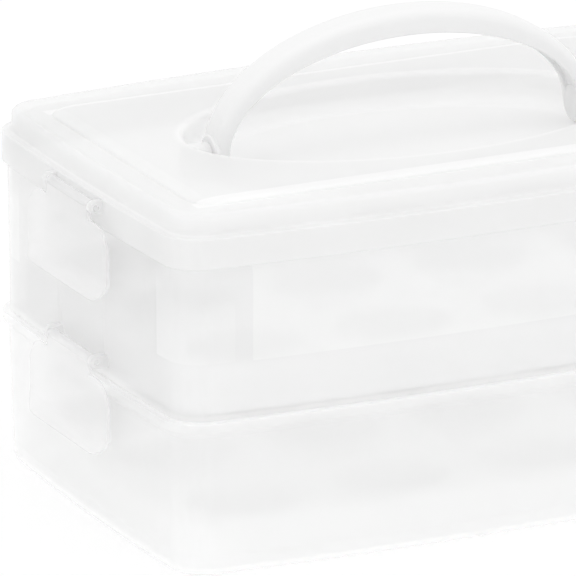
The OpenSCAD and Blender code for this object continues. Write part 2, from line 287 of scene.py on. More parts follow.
@dataclass(frozen=True)
class BoxPaintedLight:
    """Painted light and shade on a frosted box, in metres: windows in its long sides, corners and foot
    painted lighter as light coming through the wall, and short sides left darker as painted shade.

    Attributes:
        half_length: half of its length.
        low: its lower edge.
        high: its upper edge.
        soft: width of the change to the darker tone.
        depth: distance of the long sides from the middle, at least.
        depth_soft: width of the change from the short sides to the long ones.
        foot: level below which the box is painted as light as a window.
        foot_soft: width of the change there.
        corner_x: distance along X from which a corner is painted lighter.
        corner_y: distance along Y from which a corner is painted lighter.
        corner_high: level at which the corners' painted light fades, as painted shade under the lid's skirt.
        corner_fade: width of that change.
        corner_share: how much painted light the corners get.
        long_side_share: how much painted light the long sides get outside the windows.
    """

    half_length: float
    low: float
    high: float
    soft: float = 0.0012
    depth: float = 0.095
    depth_soft: float = 0.024
    foot: float = 0.0855
    foot_soft: float = 0.004
    corner_x: float = 0.1465
    corner_y: float = 0.083
    corner_high: float = 0.148
    corner_fade: float = 0.02
    corner_share: float = 0.72
    long_side_share: float = 0.53

    def mask(self, g: Graph) -> Shade:
        """1 in the painted light of the windows and foot, less on the long sides, 0 in the short sides'
        painted shade.
        """
        # The short sides keep the darker tone as painted shade; the long sides get some painted light.
        long_side = 1.0 - g.within("Y", self.depth, self.depth_soft)
        # The windows are painted lighter, as light coming through the wall.
        window = (g.within("X", self.half_length, self.soft) * long_side
                  * (1.0 - g.above("Z", self.high, self.soft)))
        # The corners are painted lighter, fading higher up as painted shade under the lid's skirt.
        corner = ((1.0 - g.within("X", self.corner_x, self.soft))
                  * (1.0 - g.within("Y", self.corner_y, self.soft))
                  * (1.0 - g.above("Z", self.corner_high, self.corner_fade)) * self.corner_share)
        panels = g.most(window, corner) * g.above("Z", self.low, self.soft)
        # The foot is painted as light as the windows.
        foot = 1.0 - g.above("Z", self.foot, self.foot_soft)
        return g.most(g.most(panels, long_side * self.long_side_share), foot)


@dataclass(frozen=True)
class Ovals:
    """One oval, or a grid of them, in plan and in metres.

    Attributes:
        half_x: half length of an oval.
        half_y: half width of an oval.
        pitch_x: distance of two ovals along X, with a line between them at X = 0.
        pitch_y: distance of two ovals along Y, with one at Y = 0.
        soft: half of the change at an oval's edge, as a share of its size squared.
    """

    half_x: float
    half_y: float
    pitch_x: float = 0.0
    pitch_y: float = 0.0
    soft: float = 0.06

    def mask(self, g: Graph) -> Shade:
        """1 in the ovals and 0 outside."""
        x, y = g.along("X"), g.along("Y")
        if self.pitch_x:
            half = self.pitch_y / 2
            x = g.wrap(x, 0.0, self.pitch_x) - self.pitch_x / 2
            y = g.wrap(y, -half, half)
        x, y = x * (1 / self.half_x), y * (1 / self.half_y)
        return 1.0 - g.ramp(x * x + y * y, 1.0 - self.soft, 1.0 + self.soft)


@dataclass(frozen=True)
class LidPaintedLight:
    """Painted light on the lid, in metres: a painted highlight on the slope around its raised middle and
    along the ledge's edge, and painted light in the recess, against its shade, and along the long sides.

    Attributes:
        recess: the recess.
        half_x: half length of the slope's foot.
        half_y: half width of the slope's foot.
        slope: width of the slope.
        soft: width of the change at the slope's edges.
        short_share: how strong the slope's painted highlight is on the short sides.
        recess_share: how much painted light lifts the shade of the recess's floor.
        recess_wall: width of the recess's wall and rounded mouth in plan, twice that at its ends.
        wall_share: how much painted light lifts the shade of that wall.
        long_share: how much painted light the lid gets along its long sides.
        long_soft: width of the change to them.
        ledge: level of the painted highlight along the ledge's edge.
        ledge_half: half of that line's height.
        ledge_soft: width of the change at that line's edges.
        ledge_share: how strong that painted highlight is.
    """

    recess: Ovals
    half_x: float
    half_y: float
    slope: float
    soft: float = 0.0015
    short_share: float = 0.2
    recess_share: float = 0.45
    recess_wall: float = 0.0085
    wall_share: float = 0.9
    long_share: float = 0.24
    long_soft: float = 0.03
    ledge: float = 0.1787
    ledge_half: float = 0.0008
    ledge_soft: float = 0.0006
    ledge_share: float = 0.75

    def plate(self, g: Graph, inset: float) -> Shade:
        """1 inside the slope's foot, moved inwards, and 0 outside."""
        return g.within("X", self.half_x - inset, self.soft) * g.within("Y", self.half_y - inset, self.soft)

    def mask(self, g: Graph) -> Shade:
        """1 on the long slopes' painted highlight, less in the other places with painted light, 0 elsewhere.
        """
        # Painted highlight on the slope around the raised middle, weaker on the short sides.
        slope = self.plate(g, 0.0) * (1.0 - self.plate(g, self.slope))
        long_side = 1.0 - g.within("Y", self.half_y - self.slope, self.soft)
        share = self.short_share + long_side * (1.0 - self.short_share)
        # Painted light in the recess, lifting the shade of its wall and floor.
        wall = self.recess_wall
        floor = Ovals(self.recess.half_x - 2 * wall, self.recess.half_y - wall).mask(g)
        recess = self.recess.mask(g) * (self.wall_share + floor * (self.recess_share - self.wall_share))
        # Painted highlight along the ledge's edge.
        line = (g.above("Z", self.ledge - self.ledge_half, self.ledge_soft)
                * (1.0 - g.above("Z", self.ledge + self.ledge_half, self.ledge_soft)))
        # Painted light along the long sides.
        border = (1.0 - g.within("Y", self.half_y, self.long_soft)) * self.long_share
        return g.most(g.most(slope * share, recess), g.most(line * self.ledge_share, border))


@dataclass(frozen=True)
class MouldedPlastic:
    """Moulded plastic with a faint cloudiness, a fine eggshell texture and, where given, painted light or
    shade.

    Attributes:
        name: the material's name.
        slot: the record's slot of the finish.
        tone: its brightness, linear; it has no hue of its own.
        body: how dense it looks, from 0 for clear to 1 for opaque.
        roughness: its mean roughness.
        cloud: how much darker its cloudy places are, as a share.
        painted_area: an area painted in another tone as painted light or shade, if there is one.
        painted_tone: the tone of that painted light or shade, linear.
        grain: depth of the moulded texture, in metres.
        grain_strength: how strongly that texture shows.
        grain_scale: how fine that texture is, in cells to a metre.
        cloud_scales: how fine the large and the small cloudy places are, in cells to a metre.
        sheen_scale: how fine the changes of the roughness are, in cells to a metre.
        sheen: how much the roughness changes.
    """

    name: str
    slot: Slot
    tone: float
    body: float
    roughness: float
    cloud: float = 0.02
    painted_area: BoxPaintedLight | Ovals | LidPaintedLight | None = None
    painted_tone: float = 0.999
    grain: float = 0.00003
    grain_strength: float = 0.3
    grain_scale: float = 1400.0
    cloud_scales: tuple[float, float] = (22.0, 160.0)
    sheen_scale: float = 14.0
    sheen: float = 0.12

    def tint(self, g: Graph) -> Shade:
        """The colour, with its painted light or shade and a faint cloudiness."""
        tone = (self.tone,) * 3
        if self.painted_area:
            tone = g.mix(self.painted_area.mask(g), tone, (self.painted_tone,) * 3)
        large, small = self.cloud_scales
        haze = g.noise(large, 3.0) * self.cloud + g.noise(small) * (self.cloud / 2)
        return g.mix(haze, tone, BLACK)

    def build(self) -> bpy.types.Material:
        """Makes the material.

        Returns:
            The material.
        """
        g = Graph(bpy.data.materials.new(self.name))
        bump = {"Strength": self.grain_strength, "Distance": self.grain,
                "Height": g.noise(self.grain_scale, 1.0)}
        return g.finish(g.node("ShaderNodeBsdfPrincipled", {}, {
            "Base Color": self.tint(g),
            "Roughness": g.noise(self.sheen_scale) * self.sheen + (self.roughness - self.sheen / 2),
            "IOR": 1.45,
            "Alpha": self.body,
            "Normal": g.node("ShaderNodeBump", {}, bump),
        }))


class Finish(Enum):
    """The carrier's finishes."""

    # The lower and upper boxes are one frosted plastic in a lighter and a darker copy: the lower box is
    # lighter as painted light from the floor below.
    LOWER = MouldedPlastic("frosted_lower", Slot.CLEAR, tone=0.999, body=0.36, roughness=0.36, cloud=0.002)
    # The upper box carries painted light in its windows, corners and foot, and painted shade on its short
    # sides.
    UPPER = MouldedPlastic("frosted_upper", Slot.CLEAR, tone=0.872, body=0.32, roughness=0.36, cloud=0.01,
                           painted_area=BoxPaintedLight(half_length=0.138, low=0.112, high=0.1627))
    # The lid carries painted highlights on its slope and ledge, and painted light in its recess and along
    # its long sides.
    COVER = MouldedPlastic("frosted_cover", Slot.CLEAR, tone=0.897, body=0.5, roughness=0.36, cloud=0.02,
                           painted_area=LidPaintedLight(recess=Ovals(half_x=0.1215, half_y=0.071), half_x=0.158,
                                          half_y=0.093, slope=0.0075), painted_tone=0.985)
    # Painted shade: the tray's egg cups are painted darker.
    TRAY = MouldedPlastic("tray_white", Slot.TRAY, tone=0.999, body=0.5, roughness=0.45, cloud=0.002,
                          painted_area=Ovals(half_x=0.031, half_y=0.024, pitch_x=0.083, pitch_y=0.077),
                          painted_tone=0.92)
    HANDLE = MouldedPlastic("handle_white", Slot.HANDLE, tone=0.833, body=1.0, roughness=0.4)
    LATCH = MouldedPlastic("latch_clear", Slot.LATCH, tone=0.92, body=0.27, roughness=0.36)


def spread(start: float, end: float, steps: int) -> list[float]:
    """Numbers at equal distances, both ends included.

    Args:
        start: the first number.
        end: the last number.
        steps: how many steps lie between them.

    Returns:
        The numbers.
    """
    return [start + (end - start) * i / steps for i in range(steps + 1)]


def arc(start: float, end: float, steps: int) -> list[tuple[float, float]]:
    """Cosines and sines of angles at equal distances.

    Args:
        start: the first angle, in degrees.
        end: the last angle, in degrees.
        steps: how many steps lie between them.

    Returns:
        One pair of cosine and sine for each angle.
    """
    return [(math.cos(math.radians(a)), math.sin(math.radians(a))) for a in spread(start, end, steps)]


@dataclass(frozen=True)
class Outline:
    """Plan of the carrier: a rectangle with round corners whose sides bow out and carry raised panels.

    Attributes:
        length: length, corner to corner, in millimetres.
        width: depth, corner to corner.
        corner: radius of the corners.
        bow_long: how far the long sides bow out.
        bow_short: how far the short sides bow out.
        corner_zone: distance of the panels from the corners.
        panel_side: width of a panel's sloped upright edges.
        side_steps: points along half a side.
        corner_steps: points around a corner.
    """

    length: float = 350.0
    width: float = 220.0
    corner: float = 16.0
    bow_long: float = 8.8
    bow_short: float = 3.2
    corner_zone: float = 28.0
    panel_side: float = 9.0
    side_steps: int = 12
    corner_steps: int = 12

    def across(self, y: float, inset: float, step: float, bend: float) -> float:
        """X of the short side at a given Y."""
        return self.length / 2 + bend * self.bow_short * (1 - (2 * y / self.width) ** 2) - inset + step

    def along(self, x: float, inset: float, step: float, bend: float) -> float:
        """Y of the long side at a given X."""
        return self.width / 2 + bend * self.bow_long * (1 - (2 * x / self.length) ** 2) - inset + step

    def quarter(self, inset: float, step: float, bend: float) -> list[tuple[float, float]]:
        """One quarter of the outline, from the X axis round to the Y axis.

        Args:
            inset: how far inside the body's edge it runs.
            step: how far the panels stand out.
            bend: the share of the sides' bow that it keeps.

        Returns:
            The points.
        """
        centre_y = self.width / 2 - max(inset, 0) - self.corner
        centre_x = self.length / 2 - max(inset, 0) - self.corner
        stop_y = min(self.width / 2 - self.corner_zone, centre_y - 1)
        stop_x = min(self.length / 2 - self.corner_zone, centre_x - 1)
        radius_y = self.along(centre_x, inset, 0, bend) - centre_y
        radius_x = self.across(centre_y, inset, 0, bend) - centre_x
        levels = spread(0, stop_y - self.panel_side, self.side_steps)
        places = spread(stop_x - self.panel_side, 0, self.side_steps)
        short = [(self.across(y, inset, step, bend), y) for y in levels]
        turn = [(centre_x + radius_x * c, centre_y + radius_y * s) for c, s in arc(0, 90, self.corner_steps)]
        long = [(x, self.along(x, inset, step, bend)) for x in places]
        return [*short, (self.across(stop_y, inset, 0, bend), stop_y), *turn,
                (stop_x, self.along(stop_x, inset, 0, bend)), *long]

    def ring(self, z: float, inset: float, step: float = 0.0, bend: float = 1.0) -> Ring:
        """The whole outline at a level, in metres.

        Args:
            z: the level, in millimetres.
            inset: how far inside the body's edge it runs.
            step: how far the panels stand out.
            bend: the share of the sides' bow that it keeps.

        Returns:
            The points, counterclockwise from the +X side.
        """
        first = self.quarter(inset, step, bend)
        second = [(-x, y) for x, y in first[-2::-1]]
        third = [(-x, -y) for x, y in first[1:]]
        fourth = [(x, -y) for x, y in first[-2:0:-1]]
        return [Vector((x, y, z)) * MM for x, y in [*first, *second, *third, *fourth]]

    def oval(self, z: float, half_x: float, half_y: float) -> Ring:
        """An oval with as many points as the outline, at a level, in metres."""
        count = len(self.ring(0, 0))
        return [Vector((half_x * c, half_y * s, z)) * MM for c, s in arc(0, 360 - 360 / count, count - 1)]


class Workpiece:
    """A piece that is modelled in edit mode, ring by ring, and finished with modifiers."""

    def __init__(self, name: str, first: Ring) -> None:
        """Starts with a circle that is shaped to the first ring.

        Args:
            name: the piece's name.
            first: the first ring.
        """
        bpy.ops.object.select_all(action="DESELECT")
        bpy.ops.mesh.primitive_circle_add(vertices=len(first), radius=MM, location=(0.0, 0.0, 0.0))
        self.piece = bpy.context.object
        self.piece.name = name
        bpy.ops.object.mode_set(mode="EDIT")
        self.chosen = list(range(len(first)))
        self.first = list(self.chosen)
        self.last = first
        self.place(first)

    def place(self, ring: Ring) -> None:
        """Moves the chosen points to a ring."""
        mesh = bmesh.from_edit_mesh(self.piece.data)
        mesh.verts.ensure_lookup_table()
        for index, point in zip(self.chosen, ring):
            mesh.verts[index].co = point
        bmesh.update_edit_mesh(self.piece.data)
        self.last = ring

    def extrude(self, rings: list[Ring]) -> "Workpiece":
        """Extrudes the open edge from ring to ring.

        Args:
            rings: the rings, in their order.

        Returns:
            The workpiece.
        """
        for ring in rings:
            before = len(bmesh.from_edit_mesh(self.piece.data).verts)
            bpy.ops.mesh.extrude_region_move(TRANSFORM_OT_translate={"value": ring[0] - self.last[0]})
            mesh = bmesh.from_edit_mesh(self.piece.data)
            mesh.verts.ensure_lookup_table()
            grown = {}
            for vert in mesh.verts[before:]:
                for edge in vert.link_edges:
                    if edge.other_vert(vert).index < before:
                        grown[edge.other_vert(vert).index] = vert.index
            self.chosen = [grown[index] for index in self.chosen]
            self.place(ring)
        return self

    def close(self) -> "Workpiece":
        """Fills both open ends, turns all faces outwards and leaves edit mode."""
        bpy.ops.mesh.edge_face_add()
        bpy.ops.mesh.select_all(action="DESELECT")
        mesh = bmesh.from_edit_mesh(self.piece.data)
        mesh.verts.ensure_lookup_table()
        for index in self.first:
            mesh.verts[index].select = True
        mesh.select_flush_mode()
        bmesh.update_edit_mesh(self.piece.data)
        bpy.ops.mesh.edge_face_add()
        bpy.ops.mesh.select_all(action="SELECT")
        bpy.ops.mesh.normals_make_consistent(inside=False)
        bpy.ops.object.mode_set(mode="OBJECT")
        return self

    def pick(self) -> None:
        """Makes this the only selected and the active piece."""
        bpy.ops.object.select_all(action="DESELECT")
        self.piece.select_set(True)
        bpy.context.view_layer.objects.active = self.piece

    def modify(self, kind: str, settings: dict) -> "Workpiece":
        """Adds a modifier and applies it.

        Args:
            kind: the modifier's type.
            settings: the modifier's settings.

        Returns:
            The workpiece.
        """
        self.pick()
        bpy.ops.object.modifier_add(type=kind)
        modifier = self.piece.modifiers[-1]
        for key, value in settings.items():
            setattr(modifier, key, value)
        bpy.ops.object.modifier_apply(modifier=modifier.name)
        return self

    def combine(self, tool: "Workpiece", operation: str) -> "Workpiece":
        """Adds another workpiece to this one or cuts it out, and uses it up.

        Args:
            tool: the other workpiece.
            operation: UNION or DIFFERENCE.

        Returns:
            The workpiece.
        """
        self.modify("BOOLEAN", {"operation": operation, "object": tool.piece, "solver": "EXACT"})
        bpy.data.objects.remove(tool.piece)
        return self

    def soften(self, width: float, limit: float = 40.0, segments: int = 2) -> "Workpiece":
        """Rounds the sharp edges.

        Args:
            width: width of the rounding, in millimetres.
            limit: the least angle of an edge that counts as sharp, in degrees.
            segments: how many faces the rounding has.

        Returns:
            The workpiece.
        """
        return self.modify("BEVEL", {"width": width * MM, "segments": segments, "limit_method": "ANGLE",
                                     "angle_limit": math.radians(limit)})

    def hand_over(self, body: str, nodes: tuple[str, ...], slot: Slot, material: bpy.types.Material) -> None:
        """Smooths and dresses the piece and hands it to the frame.

        Args:
            body: the body that it moves with.
            nodes: the nodes that it stands for.
            slot: the record's slot of its finish; not used.
            material: its material.
        """
        self.pick()
        bpy.ops.object.shade_smooth_by_angle(angle=math.radians(SMOOTH_ANGLE))
        self.piece.data.materials.clear()
        self.piece.data.materials.append(material)
        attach(self.piece, body)
        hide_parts(*nodes)
        LOG.info("%s: %d faces", self.piece.name, len(self.piece.data.polygons))


def rod(radius: float, start: Vector, end: Vector, bevel: float = 0.0, sides: int = 48) -> Workpiece:
    """A round rod between two points, in millimetres, with bevelled ends.

    Args:
        radius: its radius.
        start: the middle of one end.
        end: the middle of the other end.
        bevel: size of the bevel around its ends.
        sides: how many sides it has.

    Returns:
        The rod.
    """
    way = (end - start).normalized()
    side = way.orthogonal().normalized()
    other = way.cross(side)

    def ring(place: Vector, size: float) -> Ring:
        """A ring of the rod."""
        circle = arc(0, 360 - 360 / sides, sides - 1)
        return [(place + (side * c + other * s) * size) * MM for c, s in circle]

    rings = [ring(start, radius - bevel), ring(start + way * bevel, radius),
             ring(end - way * bevel, radius), ring(end, radius - bevel)]
    if not bevel:
        rings = [rings[0], rings[-1]]
    return Workpiece("rod", rings[0]).extrude(rings[1:]).close()


def lug(radius: float, drop: float, reach: float, spot: Vector, way: Vector, depth: float) -> Workpiece:
    """A lug with one round end, like a hinge ear or a boss.

    Args:
        radius: radius of its round end.
        drop: direction of its straight end, in degrees from +Z about its axis.
        reach: distance of its straight end from the axis.
        spot: the middle of its first face, in millimetres.
        way: unit vector along its axis.
        depth: its length along the axis.

    Returns:
        The lug.
    """
    turn = math.radians(drop)
    tail = UP * math.cos(turn) + way.cross(UP) * math.sin(turn)
    flank = way.cross(tail)
    shape = [(-tail * s + flank * c) * radius for c, s in arc(0, 180, 20)]
    shape += [tail * reach - flank * radius, tail * reach + flank * radius]

    def ring(along: float) -> Ring:
        """The lug's outline at a distance along its axis."""
        return [(spot + way * along + point) * MM for point in shape]

    return Workpiece("lug", ring(0.0)).extrude([ring(depth)]).close()


@dataclass
class StackingBox:
    """One layer of the carrier: an open box with a rim and raised side panels.

    Attributes:
        name: the node that it stands for.
        base: level of its underside, in millimetres.
        height: its height up to the rim.
        foot: how much narrower its foot is, each side.
        round_in: how far the rounded edge under it reaches in.
        round_up: how far that edge reaches up.
        panel_top: height of the top of its panels.
        flange: how far its rim flange stands out, or 0 for a plain rim.
        wall: wall thickness.
        floor: floor thickness.
        panel_low: height of the lower edge of its panels.
        panel_edge: height of a panel's sloped upper and lower edges.
        panel_step: how far the panels stand out.
        flange_height: height of the rim flange.
        flange_slope: height of the slope under the flange.
        inside_radius: radius between the floor and the wall.
        ring_width: width of the ring that the lowest box stands on.
        hollow: height of the hollow within that ring.
        rib_gap: gap between the locating rib and the wall below.
        rib: section of that rib, as levels and distances from its outer face.
        outline: the carrier's plan.
    """

    name: str
    base: float
    height: float
    foot: float
    round_in: float
    round_up: float
    panel_top: float
    flange: float
    wall: float = 1.8
    floor: float = 2.5
    panel_low: float = 11.0
    panel_edge: float = 2.5
    panel_step: float = 1.0
    flange_height: float = 5.0
    flange_slope: float = 3.5
    inside_radius: float = 1.8
    ring_width: float = 14.5
    hollow: float = 0.8
    rib_gap: float = 0.6
    rib: tuple[tuple[float, float], ...] = ((0.0, 1.9), (-4.0, 2.6), (-4.0, 1.0), (-3.0, 0.0), (0.0, 0.0))
    outline: Outline = field(default_factory=Outline)

    def ring(self, z: float, inset: float, step: float = 0.0) -> Ring:
        """A ring at a height above the box's own base."""
        return self.outline.ring(self.base + z, inset, step)

    def side(self, inward: float) -> list[Ring]:
        """The wall from the foot to the top of the panels, moved inwards."""
        low, top, edge = self.panel_low, self.panel_top, self.panel_edge
        levels = [(low, 0.0), (low + edge, self.panel_step), (top - edge, self.panel_step), (top, 0.0)]
        return [self.ring(z, self.foot * (1 - z / top) + inward, step) for z, step in levels]

    def underside(self) -> list[Ring]:
        """The floor's underside, from its middle to the foot of the wall."""
        edge = self.ring(0, self.foot + self.round_in)
        if self.flange:
            inner = self.foot + self.ring_width
            return [self.ring(self.hollow, inner + 0.5), self.ring(0, inner), edge]
        return [*[self.ring(z, self.wall + self.rib_gap + inset) for z, inset in self.rib], edge]

    def rings(self) -> list[Ring]:
        """The whole wall, up the outside, over the rim and down the inside."""
        rounding = [self.ring(self.round_up * (1 - c), self.foot + self.round_in * (1 - s))
                    for c, s in arc(0, 90, 8)[1:]]
        rim = [self.ring(self.height, 0.0)]
        if self.flange:
            shoulder = self.height - self.flange_height
            rim = [self.ring(shoulder - self.flange_slope, 0.0), self.ring(shoulder, -self.flange),
                   self.ring(self.height, -self.flange)]
        foot_in = self.foot + self.wall + self.inside_radius
        fillet = [self.ring(self.floor + self.inside_radius * (1 - s), foot_in - self.inside_radius * c)
                  for c, s in arc(0, 90, 4)]
        return [*self.underside(), *rounding, *self.side(0.0), *rim, self.ring(self.height, self.wall),
                *reversed(self.side(self.wall)), *fillet]

    def build(self) -> Workpiece:
        """Models the box.

        Returns:
            The box.
        """
        rings = self.rings()
        return Workpiece(f"{self.name}_shell", rings[0]).extrude(rings[1:]).close().soften(0.5)


@dataclass
class Hinge:
    """The ears that carry a latch.

    Attributes:
        stage: what its latches hold.
        back: where the ears' webs start, in millimetres from the middle of the carrier.
        reach: distance of the pins from there.
        radius: radius of an ear.
        thickness: thickness of an ear.
        half_span: distance of an ear's inner face from the middle.
        bore: radius of the pin's hole.
    """

    stage: Stage
    back: float
    reach: float = HINGE_REACH
    radius: float = 3.3
    thickness: float = 4.0
    half_span: float = 25.3
    bore: float = 1.65

    def add_to(self, work: Workpiece) -> Workpiece:
        """Adds both pairs of ears to a piece.

        Args:
            work: the piece that carries them.

        Returns:
            The piece.
        """
        way = Vector((0.0, 1.0, 0.0))
        for end in End:
            for y in (-self.half_span - self.thickness, self.half_span):
                spot = Vector((self.reach * end.value, y, self.stage.value))
                ear = lug(self.radius, -90.0 * end.value, self.reach - self.back, spot, way, self.thickness)
                hole = rod(self.bore, spot - way, spot + way * (self.thickness + 1))
                ear.combine(hole, "DIFFERENCE")
                work.combine(ear, "UNION")
        return work


@dataclass
class Lid:
    """The lid with its skirt, ledge, crest, gutter, raised middle and the oval recess for the handle.

    Attributes:
        skirt: level of the skirt's lower edge, in millimetres.
        ledge: level of the ledge.
        crest: level of the crest.
        gutter: level of the gutter inside the crest.
        plateau: level of the raised middle.
        floor: level of the recess's floor.
        thickness: its thickness.
        recess: half length and half width of the recess.
        foot: width of the recess's rounded foot at its ends and at its sides.
        foot_rise: height of that foot.
        mouth: radius of the recess's rounded mouth.
        pivot: level of the handle's pins.
        boss: radius of the bosses around them.
        boss_start: distance of a boss's inner face from the middle.
        boss_length: length of a boss.
        bore: radius of the pins' bores.
        bore_depth: depth of those bores.
        crest_radius: radius of the crest's edge.
        hollow: radius of the hollow between the ledge and the crest.
        stand_out: how far the skirt stands out past the body's edge.
        clearance: gap between the skirt and the body's edge.
        lip: radius of the ledge's edge.
        crest_inset: distance of the crest's outer face from the body's edge.
        crest_inner: levels over the gutter and under the crest, and insets, of the crest's inner slope.
        gutter_inset: inset of the gutter's outer edge.
        plateau_inset: inset of the raised middle.
        slope: width of the slope around the raised middle.
        crease: width of the flat strip at that slope's foot.
        bevel: bevel inside, under the crest.
        flat: share of the sides' bow that the raised middle keeps.
        outline: the carrier's plan.
    """

    skirt: float = 162.6
    ledge: float = 178.8
    crest: float = 190.4
    gutter: float = 188.2
    plateau: float = 190.9
    floor: float = 173.4
    thickness: float = 1.8
    recess: tuple[float, float] = (117.5, 67.0)
    foot: tuple[float, float] = (13.0, 4.0)
    foot_rise: float = 9.0
    mouth: float = 3.0
    pivot: float = HANDLE_PIVOT
    boss: float = 6.5
    boss_start: float = 108.6
    boss_length: float = 12.5
    bore: float = 3.05
    bore_depth: float = 9.0
    crest_radius: float = 3.0
    hollow: float = 2.6
    stand_out: float = 2.8
    clearance: float = 0.6
    lip: float = 0.8
    crest_inset: float = 1.8
    crest_inner: tuple[float, float, float, float] = (0.25, 0.3, 8.3, 5.6)
    gutter_inset: float = 9.4
    plateau_inset: float = 25.0
    slope: float = 8.0
    crease: float = 0.4
    bevel: float = 1.4
    flat: float = 0.02
    outline: Outline = field(default_factory=Outline)

    def oval(self, z: float, out: float, out_side: float | None = None) -> Ring:
        """An oval around the recess, moved outwards."""
        side = out if out_side is None else out_side
        return self.outline.oval(z, self.recess[0] + out, self.recess[1] + side)

    def recess_foot(self, around: float) -> list[Ring]:
        """The rounded foot of the recess, from its floor upwards, with a thickness around it."""
        end, side = self.foot
        return [self.oval(self.floor - around + (self.foot_rise + around) * (1 - c),
                          (end + around) * s - end, (side + around) * s - side) for c, s in arc(0, 90, 9)]

    def top(self) -> list[Ring]:
        """The visible side, from the recess's floor out to the skirt's lower edge."""
        ring, flat, foot_inset = self.outline.ring, self.flat, self.plateau_inset - self.slope
        mouth = [self.oval(self.plateau - self.mouth * (1 - s), self.mouth * (1 - c))
                 for c, s in arc(0, 90, 6)]
        rise = self.plateau - self.gutter
        slope = [ring(self.gutter + rise * s, self.plateau_inset - self.slope * c, bend=flat)
                 for c, s in arc(90, 0, 7)]
        foot = [ring(self.gutter, foot_inset - self.crease, bend=flat), ring(self.gutter, self.gutter_inset)]
        over, under, low_inset, high_inset = self.crest_inner
        inner = [ring(self.gutter + over, low_inset), ring(self.crest - under, high_inset)]
        radius, start, out = self.crest_radius, self.crest_inset, self.stand_out
        crest = [ring(self.crest - radius * (1 - s), start + radius * (1 - c)) for c, s in arc(90, 0, 6)]
        radius = self.hollow
        ledge = [ring(self.ledge + radius * (1 - c), start - radius * (1 - s)) for c, s in arc(90, 0, 5)]
        edge = [ring(self.ledge - self.lip * (1 - s), -out + self.lip * (1 - c)) for c, s in arc(90, 0, 4)]
        return [*self.recess_foot(0.0), *mouth, *slope, *foot, *inner, *crest, *ledge, *edge,
                ring(self.skirt, -out)]

    def underside(self) -> list[Ring]:
        """The hidden side, from the skirt's lower edge in to the underside of the recess."""
        ring, thick, gap = self.outline.ring, self.thickness, self.clearance
        seat, under, ceiling = self.ledge - thick, self.gutter - thick, self.plateau - thick
        wall = self.crest_inset + thick
        return [ring(self.skirt, -gap), ring(seat, -gap), ring(seat, wall), ring(under - self.bevel, wall),
                ring(under, wall + self.bevel),
                ring(under, self.plateau_inset - self.slope + thick, bend=self.flat),
                ring(ceiling, self.plateau_inset, bend=self.flat),
                self.oval(ceiling, thick), *reversed(self.recess_foot(thick))]

    def build(self) -> Workpiece:
        """Models the lid with its bosses and hinge ears.

        Returns:
            The lid.
        """
        rings = [*self.top(), *self.underside()]
        work = Workpiece("lid_cover", rings[0]).extrude(rings[1:]).close().soften(0.4, limit=50.0)
        reach = self.pivot - self.floor + self.thickness / 2
        for end in End:
            way = Vector((end.value, 0.0, 0.0))
            spot = Vector((self.boss_start * end.value, 0.0, self.pivot))
            boss = lug(self.boss, 180.0, reach, spot, way, self.boss_length)
            boss.combine(rod(self.bore, spot - way, spot + way * self.bore_depth), "DIFFERENCE")
            work.combine(boss, "UNION")
        return Hinge(Stage.LID, back=179.9).add_to(work)


@dataclass
class CarryHandle:
    """The arched bail handle, a channel that is open on its inside.

    Attributes:
        span: its span, outside, in millimetres.
        rise: its rise above the pins.
        pivot: level of the pins.
        width: its width.
        leg: thickness of a leg at its pin.
        grip: depth at the crown.
        wall: wall thickness of the channel.
        channel: depth of the channel.
        lip: bevel of the channel's edges.
        fillet: radius along the channel's bed.
        edge: radius of its outer edges.
        pin: radius of a pin.
        pin_length: length of a pin past the leg.
        sunk: how much of that length a pin also reaches into the leg.
        stations: how many stations the arch has.
    """

    span: float = 216.0
    rise: float = 64.5
    pivot: float = HANDLE_PIVOT
    width: float = 19.6
    leg: float = 8.0
    grip: float = 13.4
    wall: float = 3.6
    channel: float = 2.0
    lip: float = 0.5
    fillet: float = 0.8
    edge: float = 6.0
    pin: float = 3.0
    pin_length: float = 8.4
    sunk: float = 0.3
    stations: int = 96

    def section(self, depth: float) -> list[tuple[float, float]]:
        """The channel's section: distance inwards from the outer face, and place across it."""
        half, inner, bed = self.width / 2, self.width / 2 - self.wall, depth - self.channel
        edge, lip, fillet = self.edge, self.lip, self.fillet
        right = [(edge * (1 - c), half - edge * (1 - s)) for c, s in arc(0, 90, 10)]
        right += [(depth - lip, half), (depth, half - lip), (depth, inner + lip), (depth - lip, inner)]
        right += [(bed + fillet, inner), (bed + fillet / 4, inner - fillet / 4), (bed, inner - fillet)]
        return [*right, *[(inwards, -side) for inwards, side in reversed(right)]]

    def ring(self, angle: float) -> Ring:
        """The section at an angle of the arch, in degrees."""
        c, s = math.cos(math.radians(angle)), math.sin(math.radians(angle))
        outer = Vector((self.span / 2 * c, 0.0, self.pivot + self.rise * s))
        inner = Vector(((self.span / 2 - self.leg) * c, 0.0, self.pivot + (self.rise - self.grip) * s))
        way = inner - outer
        return [(outer + way * (inwards / way.length) + Vector((0.0, side, 0.0))) * MM
                for inwards, side in self.section(way.length)]

    def build(self) -> Workpiece:
        """Models the handle with its round feet and pins.

        Returns:
            The handle.
        """
        rings = [self.ring(angle) for angle in spread(0, 180, self.stations)]
        work = Workpiece("carry_handle_bow", rings[0]).extrude(rings[1:]).close()
        for end in End:
            inner = Vector(((self.span / 2 - self.leg) * end.value, 0.0, self.pivot))
            outer = Vector((self.span / 2 * end.value, 0.0, self.pivot))
            tip = outer + Vector((self.pin_length * end.value, 0.0, 0.0))
            work.combine(rod(self.width / 2, inner, outer, bevel=0.8, sides=96), "UNION")
            work.combine(rod(self.pin, outer - (tip - outer) * self.sunk, tip, bevel=0.5), "UNION")
        return work


